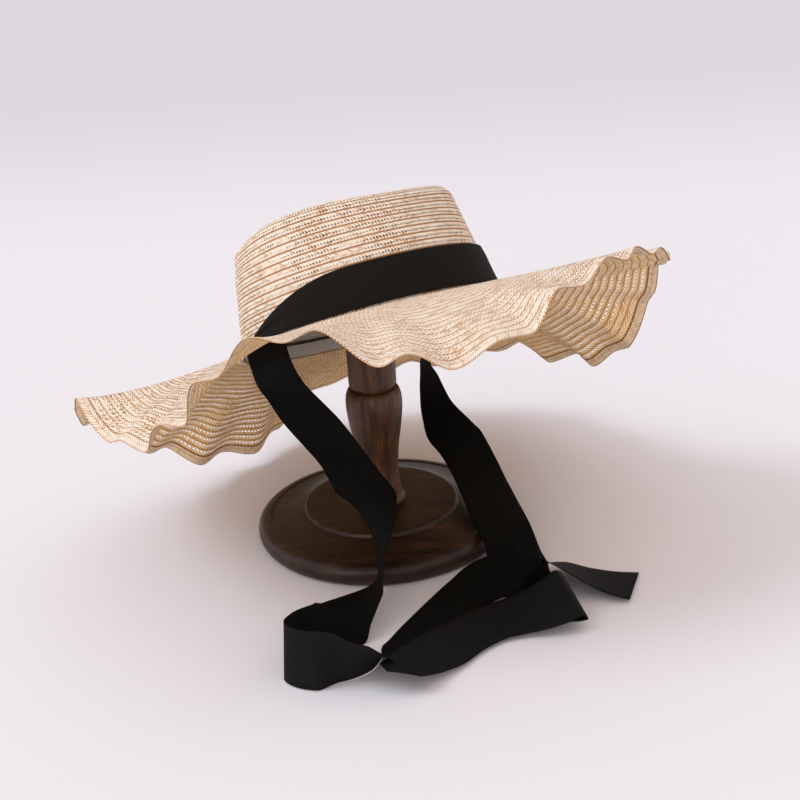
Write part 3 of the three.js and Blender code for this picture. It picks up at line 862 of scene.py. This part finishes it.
edge_straw = straw_finish(
    "straw_edge",
    straw_pale,
    straw_tan,
    brim_shade_line,
    dashed=0.8,
    holes=0.7,
    painted=0.5,
    hole_tone=brim_shade_line,
    through=False,
)
# The edge row's underside gets a darker, greyer copy of the straw: painted shade under the rim.
edge_under_shade_pale = (0.86, 0.66, 0.46, 1)
edge_under_shade_tan = (0.5, 0.33, 0.19, 1)
edge_shade_line = (0.25, 0.10, 0.03, 1)
edge_under = straw_finish(
    "straw_edge_under",
    edge_under_shade_pale,
    edge_under_shade_tan,
    edge_shade_line,
    dashed=0.3,
    holes=0.7,
    painted=1,
    hole_tone=edge_under_shade_tan,
    through=False,
)
straw_edge = sewn_shell(
    "straw_edge",
    edge_surface,
    rows=1,
    shares=edge_rings,
    under_shares=edge_rings,
    around=900,
    relief=(0.3, 0.1, 1.0),
    strand=1.5,
    facing=-1,
    finishes=[edge_straw, edge_under],
)
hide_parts("brim_edge")

# Ribbon band. A black ribbon of plain weave laid round the front of the crown, stitched at the
# back of its ends, and gathered into creases where it turns down into each slit.
band_foot = 1.6
band_rise = 31
warp_pitch = 0.5
weft_pitch = 0.45


def ribbon_finish(name, tone, dullness):
    """Black ribbon. The map is in millimetres: across the ribbon, then along it."""
    made, tree, shader = new_finish(name, Roughness=dullness)
    shader.inputs["Specular IOR Level"].default_value = 0.08
    weave_map = wire(tree, "ShaderNodeUVMap", uv_map="weave").outputs["UV"]
    counted = wire(tree, "ShaderNodeSeparateXYZ", {"Vector": weave_map})
    warp = reckon(tree, "MULTIPLY", counted.outputs["X"], 2 * math.pi / warp_pitch)
    warp = reckon(tree, "SINE", warp)
    weft = reckon(tree, "MULTIPLY", counted.outputs["Y"], 2 * math.pi / weft_pitch)
    weft = reckon(tree, "SINE", weft)
    cloth = reckon(tree, "MULTIPLY", warp, weft)
    slub = wire(
        tree,
        "ShaderNodeMapping",
        {"Vector": weave_map, "Scale": (0.15, 2.4, 1)},
    ).outputs[0]
    slubs = wire(
        tree, "ShaderNodeTexNoise", {"Vector": slub, "Scale": 1, "Detail": 4}
    ).outputs["Fac"]
    weave_shade, slub_height, slub_dim, slub_bright = 0.12, 0.8, 0.55, 1.9
    shade = reckon(tree, "MULTIPLY_ADD", cloth, weave_shade, slubs)
    dim = [channel * slub_dim for channel in tone] + [1]
    bright = [channel * slub_bright for channel in tone] + [1]
    tree.links.new(blend(tree, shade, dim, bright), shader.inputs["Base Color"])
    height = reckon(tree, "MULTIPLY_ADD", slubs, slub_height, cloth)
    roughen(tree, shader, height, strength=0.35, distance=0.0001)
    return made


def cloth_sheet(name, grid, thick, finishes):
    """A closed thin cloth over a grid of points in metres, sections by places across: the piece
    and its length."""
    count, across = grid.shape[:2]
    along = np.gradient(grid, axis=0)
    over = np.gradient(grid, axis=1)
    normal = np.cross(along, over)
    normal /= np.linalg.norm(normal, axis=2, keepdims=True)
    steps_along = np.linalg.norm(np.diff(grid[:, across // 2], axis=0), axis=1)
    run = np.concatenate([[0], np.cumsum(steps_along)]) * 1000
    steps_over = np.linalg.norm(np.diff(grid, axis=1), axis=2)
    wide = np.concatenate([np.zeros((count, 1)), np.cumsum(steps_over, axis=1)], axis=1) * 1000
    lift = normal * thick / 2
    points = np.concatenate([(grid + lift).reshape(-1, 3), (grid - lift).reshape(-1, 3)])
    base = count * across
    faces, uvs, slots = [], [], []
    for side in (0, 1):
        for i in range(count - 1):
            for j in range(across - 1):
                cells = [(i, j), (i + 1, j), (i + 1, j + 1), (i, j + 1)]
                if side:
                    cells.reverse()
                faces.append([side * base + a * across + b for a, b in cells])
                uvs.extend((wide[a, b], run[a]) for a, b in cells)
                slots.append(side % len(finishes))
    borders = [((i, j), (i + 1, j)) for i in range(count - 1) for j in (0, across - 1)]
    borders += [((i, j), (i, j + 1)) for j in range(across - 1) for i in (0, count - 1)]
    for first, second in borders:
        tops = [first[0] * across + first[1], second[0] * across + second[1]]
        faces.append(tops + [base + v for v in reversed(tops)])
        cells = [first, second, second, first]
        uvs.extend((wide[a, b], run[a]) for a, b in cells)
        slots.append(0)
    piece = soft_piece(name, points, faces, slots, uvs, "weave", finishes)
    return piece, run[-1] / 1000


ribbon_dull = ribbon_finish("ribbon_dull", (0.0034, 0.0033, 0.0028), 0.85)
ribbon_satin = ribbon_finish("ribbon_satin", (0.0062, 0.0056, 0.0064), 0.7)
# The band's copy of the ribbon is lighter and warmer than either face of the ties: painted light on
# the band.
ribbon_band_lit = ribbon_finish("ribbon_band_lit", (0.0078, 0.0066, 0.0056), 0.75)
slit_span = math.degrees(ribbon_width / crown_radius)
band_first = left_slit - slit_span / 2
band_last = right_slit + slit_span / 2
band_sections = 260
band_across = 25
fold_span = 55
flare_span = 12
end_rise = 0.12
gather_depth = 0.8
gather_span = 34
gather_lift = 1.2
broad_creases = 9.5
fine_creases = 21
crease_drift = 0.06
hem_fade = 7
band_ease = 0.18


def slit_radius(angles, slit):
    """How far out the ribbon's middle lies where it goes down through a slit."""
    out = oval_radius(math.radians(slit), 0) + clear_of_crown + slit_clearance + ribbon_wall
    return out / np.cos(angles - math.radians(slit))


band_turn = np.linspace(band_first, band_last, band_sections)
band_angles = np.radians(band_turn)
from_end = np.minimum(band_turn - band_first, band_last - band_turn)
risen = np.sin(np.minimum(from_end / fold_span, 1) * math.pi / 2)
band_top = band_foot + (band_rise - band_foot) * (end_rise + (1 - end_rise) * risen)
near_left = np.arange(band_sections) < band_sections / 2
slit_out = np.where(
    near_left, slit_radius(band_angles, left_slit), slit_radius(band_angles, right_slit)
)
flare = np.clip(1 - (from_end - slit_span) / flare_span, 0, 1)
band_shares = np.linspace(0, 1, band_across)
band_rows = []
for share in band_shares:
    height = band_foot + (band_top - band_foot) * share
    close = oval_radius(band_angles, height) + clear_of_crown + ribbon_wall / 2
    lifted = flare * (1 - share) ** 2
    out = close + (slit_out - close) * lifted
    gathered = gather_depth * np.exp(-from_end / gather_span)
    crease = np.sin(share * broad_creases + 0.8)
    crease = crease + 0.5 * np.sin(share * fine_creases + from_end * crease_drift)
    in_hem = np.minimum(np.minimum(share, 1 - share) * hem_fade, 1)
    out = out + gathered * (crease + gather_lift) * in_hem + band_ease * in_hem
    band_rows.append(
        np.stack([out * np.cos(band_angles), out * np.sin(band_angles), height], axis=1)
    )
band_grid = from_hat(np.stack(band_rows, axis=1).reshape(-1, 3))
band_grid = band_grid.reshape(band_sections, band_across, 3)
ribbon_thick = 0.00045
ribbon_band, _ = cloth_sheet("ribbon_band", band_grid, ribbon_thick, [ribbon_band_lit])
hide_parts("hat_band")

# Sweatband. A strip of ribbed grey-beige cotton, stitched round the inside of the crown's foot,
# so that the straw doesn't scratch.
sweatband_height = 28
sweatband_wall = 1.2
cotton_thick = 0.0009
rib_depth = 0.12
rib_count = 60
rib_pitch = 1.6
thread_pitch = 0.6
thread_height = 0.35
sweat_sections = 241
sweat_across = 9
sweat_angles = np.linspace(0, 2 * math.pi, sweat_sections)
sweat_rows = []
for share in np.linspace(0, 1, sweat_across):
    height = sweatband_height * share
    out = crown_radius - straw_wall - seam - crown_taper * height - sweatband_wall / 2
    ribbed = rib_depth * np.sin(sweat_angles * rib_count)
    x = (out - ribbed) * np.cos(sweat_angles)
    y = (out - ribbed) * np.sin(sweat_angles) * crown_oval
    sweat_rows.append(np.stack([x, y, height + 0 * x], axis=1))
sweat_grid = from_hat(np.stack(sweat_rows, axis=1).reshape(-1, 3))
sweat_grid = sweat_grid.reshape(sweat_sections, sweat_across, 3)
cotton, cotton_tree, cotton_shader = new_finish("ribbed_cotton", Roughness=0.9)
cotton_map = wire(cotton_tree, "ShaderNodeUVMap", uv_map="weave").outputs["UV"]
cotton_count = wire(cotton_tree, "ShaderNodeSeparateXYZ", {"Vector": cotton_map})
rib = reckon(cotton_tree, "MULTIPLY", cotton_count.outputs["X"], 2 * math.pi / rib_pitch)
rib = reckon(cotton_tree, "SINE", rib)
thread = reckon(cotton_tree, "MULTIPLY", cotton_count.outputs["Y"], 2 * math.pi / thread_pitch)
thread = reckon(cotton_tree, "SINE", thread)
cotton_weave = reckon(cotton_tree, "MULTIPLY_ADD", thread, thread_height, rib)
cotton_fade = reckon(cotton_tree, "MULTIPLY_ADD", cotton_weave, 0.25, 0.5)
cotton_grey = (0.40, 0.34, 0.28, 1)
cotton_beige = (0.72, 0.66, 0.60, 1)
cotton_tone = blend(cotton_tree, cotton_fade, cotton_grey, cotton_beige)
cotton_tree.links.new(cotton_tone, cotton_shader.inputs["Base Color"])
roughen(cotton_tree, cotton_shader, cotton_weave, strength=0.6, distance=0.0003)
cotton_sweatband, _ = cloth_sheet("cotton_sweatband", sweat_grid, cotton_thick, [cotton])
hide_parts("sweatband")

# Size cord. A thin black braided cord that lies round on the sweatband. Pulled tight, it makes
# the hat's inside smaller.
cord_radius = 1
cord_height = 9
cord_out = (
    crown_radius
    - straw_wall
    - seam * 2
    - sweatband_wall
    - crown_taper * cord_height
    - cord_radius
)
bpy.ops.object.select_all(action="DESELECT")
bpy.ops.mesh.primitive_torus_add(
    major_radius=cord_out / 1000,
    minor_radius=cord_radius / 1000,
    major_segments=220,
    minor_segments=10,
    location=(0, 0, 0),
)
size_cord = bpy.context.object
size_cord.name = "braided_cord"
cord_place = Matrix.Translation(hat_place / 1000) @ leaned.to_4x4()
cord_oval = Matrix.Diagonal((1, crown_oval, 1, 1))
size_cord.data.transform(
    cord_place @ Matrix.Translation((0, 0, cord_height / 1000)) @ cord_oval
)
cord_finish, cord_tree, cord_shader = new_finish("black_cord", Roughness=0.6)
cord_spot = wire(cord_tree, "ShaderNodeTexCoord").outputs["Object"]
cord_twist = wire(
    cord_tree, "ShaderNodeTexNoise", {"Vector": cord_spot, "Scale": 900}
).outputs["Fac"]
cord_black = (0.003, 0.003, 0.003, 1)
cord_worn = (0.012, 0.011, 0.011, 1)
cord_tone = blend(cord_tree, cord_twist, cord_black, cord_worn)
cord_tree.links.new(cord_tone, cord_shader.inputs["Base Color"])
roughen(cord_tree, cord_shader, cord_twist, strength=0.6, distance=0.0003)
size_cord.data.materials.append(cord_finish)
bpy.ops.object.shade_smooth()
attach(size_cord, "root")
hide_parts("size_cord")

# Ribbon ties. The band's ribbon goes on at each end: down through its slit, free to the floor,
# and there in loose turns to its cut end. One face is dull and the other a little satiny.
tie_lead = 125
tie_spread = 170
tie_steps = 8
tie_across = 13
slit_depth = 0.35
floor_gap = 0.4
left_sections = [
    # The middle of the ribbon: right as a share of tie_spread, front of the base as a share of
    # tie_lead, up as a share of the ribbon's width. Then its cross line's turn and lift in
    # degrees, and how far it moves with its slit.
    (-0.4, -0.25, 4.38, -47, 29, 1),
    (-0.352, -0.312, 3.46, -34, 16, 0.85),
    (-0.308, -0.304, 3.2, -22, 4, 0.75),
    (-0.247, -0.272, 2.84, -9, 1, 0.65),
    (-0.168, -0.232, 2.375, 0, -8, 0.5),
    (-0.109, -0.168, 2.075, 0, -11, 0.4),
    (-0.062, -0.104, 1.79, 0, -4, 0.3),
    (-0.026, -0.032, 1.56, -38, 10, 0.22),
    (-0.009, 0.028, 1.36, -56, 14, 0.15),
    (-0.006, 0.084, 1.16, -71, 19, 0.1),
    (-0.012, 0.128, 0.86, -84, 22, 0.04),
    (-0.018, 0.168, 0.475, -84, 24, 0),
    (-0.034, 0.21, 0.37, -77, 20, 0),
    (-0.069, 0.264, 0.3, -71, 12, 0),
    (-0.132, 0.392, 0.28, -55, -5, 0),
    (-0.172, 0.5, 0.27, -35, -32, 0),
    (-0.218, 0.612, 0.444, 4, -58, 0),
    (-0.344, 0.788, 0.52, -18, -85, 0),
    (-0.385, 0.864, 0.52, -127, -83, 0),
    (-0.347, 0.944, 0.52, -117, -83, 0),
    (-0.265, 0.992, 0.52, -117, -83, 0),
    (-0.197, 0.976, 0.51, 99, -81, 0),
    (-0.127, 0.984, 0.47, 90, -64, 0),
    (-0.07, 0.95, 0.42, 89, -53, 0),
    (-0.028, 0.88, 0.31, 92, -36, 0),
    (0.026, 0.765, 0.08, 113, -5, 0),
    (0.11, 0.58, 0.04, 117, 0, 0),
    (0.215, 0.36, 0.05, 121, 1, 0),
    (0.32, 0.176, 0.1, 119, 6, 0),
    (0.397, 0.1, 0.19, 120, 12, 0),
    (0.485, 0.13, 0.33, 98, 28, 0),
    (0.546, 0.248, 0.53, -98, 75, 0),
    (0.598, 0.232, 0.58, -91, 55, 0),
    (0.632, 0.096, 0.46, -92, 33, 0),
    (0.724, 0.064, 0.28, -93, 18, 0),
    (0.812, 0.112, 0.16, -96, 12, 0),
    (0.894, 0.16, 0.1, -102, 7, 0),
    (0.98, 0.192, 0.06, -106, 2, 0),
]
right_sections = [
    (0.31, -1.42, 3.11, -25, 13, 1),
    (0.232, -1.34, 2.42, -81, 20, 0.85),
    (0.242, -1.296, 2.148, -71, 19, 0.75),
    (0.263, -1.248, 1.738, -56, 12, 0.65),
    (0.307, -1.128, 1.412, -26, 6, 0.5),
    (0.338, -1.04, 1.21, 0, 2, 0.4),
    (0.382, -0.92, 1, 0, -8, 0.3),
    (0.418, -0.768, 0.82, 0, -12, 0.2),
    (0.456, -0.552, 0.66, 0, -10, 0.1),
    (0.485, -0.376, 0.52, 0, -5, 0.04),
    (0.52, -0.216, 0.32, 0, -14, 0),
    (0.54, -0.1, 0.1, 10, 0, 0),
    (0.562, 0.028, 0.035, 32, 0, 0),
    (0.612, 0.164, 0.035, 56, 0, 0),
    (0.656, 0.288, 0.035, 77, 0, 0),
    (0.703, 0.364, 0.1, 91, 4, 0),
    (0.735, 0.416, 0.29, 106, 16, 0),
    (0.706, 0.468, 0.5, 113, 24, 0),
    (0.653, 0.492, 0.43, 108, 21, 0),
    (0.585, 0.488, 0.3, 103, 16, 0),
    (0.515, 0.48, 0.19, 100, 10, 0),
    (0.438, 0.5, 0.14, 97, 7, 0),
    (0.35, 0.588, 0.15, 97, 9, 0),
    (0.237, 0.738, 0.17, 109, 10, 0),
    (0.161, 0.84, 0.23, 108, 8, 0),
    (0.092, 0.94, 0.31, 107, 0, 0),
    (-0.02, 1.05, 0.43, 107, -11, 0),
]


def smooth_path(points, steps):
    """A centripetal curve through points, with steps between each two."""
    ends = [2 * points[0] - points[1], *points, 2 * points[-1] - points[-2]]
    made = []
    for i in range(1, len(ends) - 2):
        before, here, there, after = ends[i - 1 : i + 3]
        gaps = [
            max(np.linalg.norm(b - a) ** 0.5, 1e-4)
            for a, b in ((before, here), (here, there), (there, after))
        ]
        leave = (here - before) / gaps[0] - (there - before) / (gaps[0] + gaps[1])
        leave = (leave + (there - here) / gaps[1]) * gaps[1]
        reach = (there - here) / gaps[1] - (after - here) / (gaps[1] + gaps[2])
        reach = (reach + (after - there) / gaps[2]) * gaps[1]
        for step in range(steps):
            t = step / steps
            bend = -3 * here + 3 * there - 2 * leave - reach
            close = 2 * here - 2 * there + leave + reach
            made.append(here + leave * t + bend * t**2 + close * t**3)
    made.append(points[-1])
    return np.array(made)


def ribbon_tie(name, slit, rows, narrow_end, finishes):
    """One tie from its slit to its cut end, along its table of sections: the piece and its
    length. narrow_end is how narrow it is gathered at the cut end, as a share of its width."""
    angle = math.radians(slit)
    out = oval_radius(angle, 0) + clear_of_crown + slit_clearance + ribbon_wall
    centre = np.array([math.cos(angle), math.sin(angle), 0]) * out
    facing = 1 if slit < 0 else -1
    across = hat_turn @ (np.array([-math.sin(angle), math.cos(angle), 0]) * facing)
    table = np.array(rows, float)
    right, front, up, turn, lift, held = table.T
    places = np.stack(
        [right * tie_spread, -base_radius - front * tie_lead, up * ribbon_width], axis=1
    )
    turn, lift = np.radians(turn), np.radians(lift)
    lines = np.stack(
        [np.cos(lift) * np.cos(turn), np.cos(lift) * np.sin(turn), np.sin(lift)], axis=1
    )
    heights = (band_foot - seam, -ribbon_width * slit_depth)
    at_slit = [hat_turn @ (centre + (0, 0, height)) + hat_origin for height in heights]
    places = places + (at_slit[0] - places[0]) * held[:, None]
    path = smooth_path([*at_slit, *places[1:]], tie_steps)
    heading = smooth_path([across, across, *lines[1:]], tie_steps)
    heading /= np.linalg.norm(heading, axis=1, keepdims=True)
    half = np.full(len(path), ribbon_width / 2)
    if narrow_end < 1:
        half[-tie_steps:] *= np.linspace(1, narrow_end, tie_steps)
    path[:, 2] = np.maximum(path[:, 2], np.abs(heading[:, 2]) * half + floor_gap)
    spread = np.linspace(-1, 1, tie_across)[None, :, None]
    over = spread * (heading * half[:, None])[:, None]
    tie, length = cloth_sheet(name, (path[:, None] + over) / 1000, ribbon_thick, finishes)
    return tie, length


tie_left, left_length = ribbon_tie(
    "ribbon_tie_left", left_slit, left_sections, 1, [ribbon_dull, ribbon_satin]
)
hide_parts("tie_left")
tie_right, right_length = ribbon_tie(
    "ribbon_tie_right", right_slit, right_sections, 0.4, [ribbon_dull, ribbon_satin]
)
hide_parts("tie_right")
